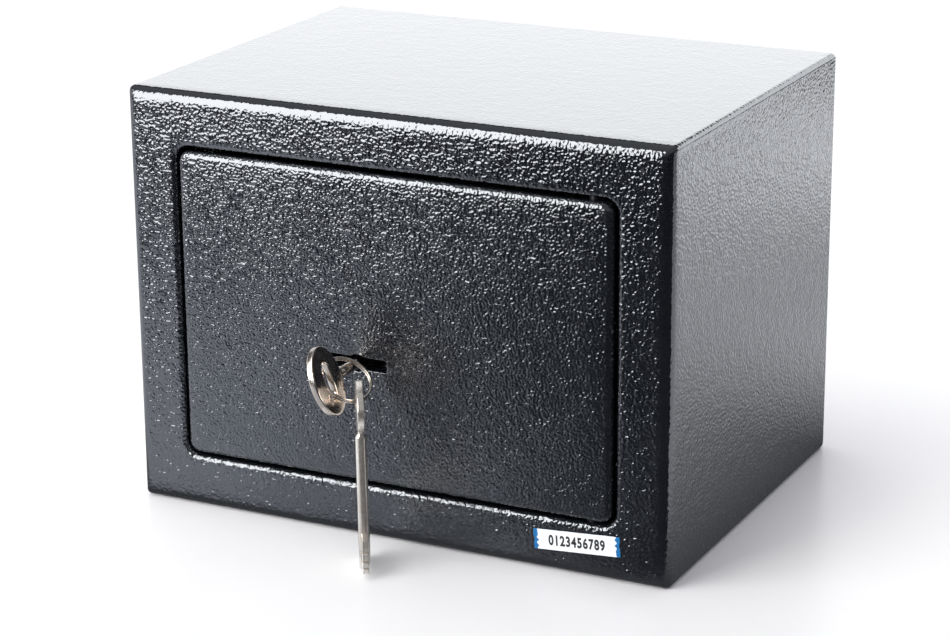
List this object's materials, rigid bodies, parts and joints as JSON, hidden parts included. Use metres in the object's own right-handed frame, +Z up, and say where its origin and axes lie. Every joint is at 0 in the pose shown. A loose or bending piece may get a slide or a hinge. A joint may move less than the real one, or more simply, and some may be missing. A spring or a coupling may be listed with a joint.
{
  "type": "key safe",
  "caption": "Small box-shaped steel safe with a flush hinged door, a keyed lever lock that throws side bolts, and a second key hanging from the first on a split ring.",
  "frame": {"origin": "centre of the cabinet's base, on the surface it stands on", "axes": "+X to the right seen from the front, +Y from the door to the back, +Z up"},
  "size_m": [0.23, 0.2125, 0.17],
  "materials": {
    "hammer_paint": "dark grey hammer-finish powder coat, glossy with a fine dimpled texture",
    "felt": "dark grey needle felt",
    "zinc": "zinc-plated steel",
    "bright_steel": "bright nickel-plated steel bar",
    "brass": "plain rolled brass",
    "nickel": "polished nickel plate, slightly warm",
    "label_paper": "white sticker with light blue ends and plain digits"
  },
  "bodies": {
    "cabinet": {"front_frame": "hammer_paint", "cabinet_wrap": "hammer_paint", "back_panel": "hammer_paint", "floor_mat": "felt", "hinge_brackets": "zinc", "hinge_pins": "zinc", "serial_label": "label_paper"},
    "door": {"door_plate": "hammer_paint", "hinge_lugs": "zinc", "key_guide": "hammer_paint", "bolt_guide": "zinc", "lock_standoffs": "zinc", "lock_case": "zinc", "lever_post": "zinc", "lock_cover": "zinc", "lock_screws": "zinc", "cover_posts": "zinc", "door_cover": "hammer_paint", "cover_screws": "zinc"},
    "boltwork": {"bolt_carriage": "zinc", "bolt_stump": "zinc", "lower_bolt": "bright_steel", "upper_bolt": "bright_steel", "bolt_screws": "zinc"},
    "levers": {"lever_1": "brass", "lever_2": "brass", "lever_3": "brass", "lever_4": "brass", "lever_5": "brass"},
    "key": {"key_in_lock": "nickel"},
    "ring": {"key_ring": "nickel"},
    "spare": {"spare_key": "nickel"}
  },
  "joints": [
    {"name": "door_hinge", "type": "hinge", "parent": "cabinet", "child": "door", "pos_m": [0.0829, -0.0813, 0], "axis": [0, 0, 1], "range_deg": [0, 110]},
    {"name": "key_turn", "type": "hinge", "parent": "door", "child": "key", "pos_m": [-0.0144, -0.0865, 0.0715], "axis": [0, -1, 0], "range_deg": [0, 70]},
    {"name": "bolt_slide", "type": "slide", "parent": "door", "child": "boltwork", "axis": [-1, 0, 0], "range_m": [0, 0.008]},
    {"name": "lever_lift", "type": "hinge", "parent": "door", "child": "levers", "pos_m": [-0.0004, -0.0535, 0.0945], "axis": [0, 1, 0], "range_deg": [0, 3], "stiffness_Nm_per_rad": 0.05, "springref_deg": -11.46},
    {"name": "ring_swing", "type": "hinge", "parent": "key", "child": "ring", "pos_m": [-0.01466, -0.1041, 0.07221], "axis": [0.1541, -0.8933, -0.4222], "range_deg": [0, 40]},
    {"name": "spare_key_swing", "type": "hinge", "parent": "ring", "child": "spare", "pos_m": [-0.00324, -0.10469, 0.06371], "axis": [0.2, -0.9798, 0], "range_deg": [-10, 10]}
  ],
  "couplings": [
    {"joint": "key_turn", "follows": "bolt_slide", "rad_per_m": 152.71}
  ]
}
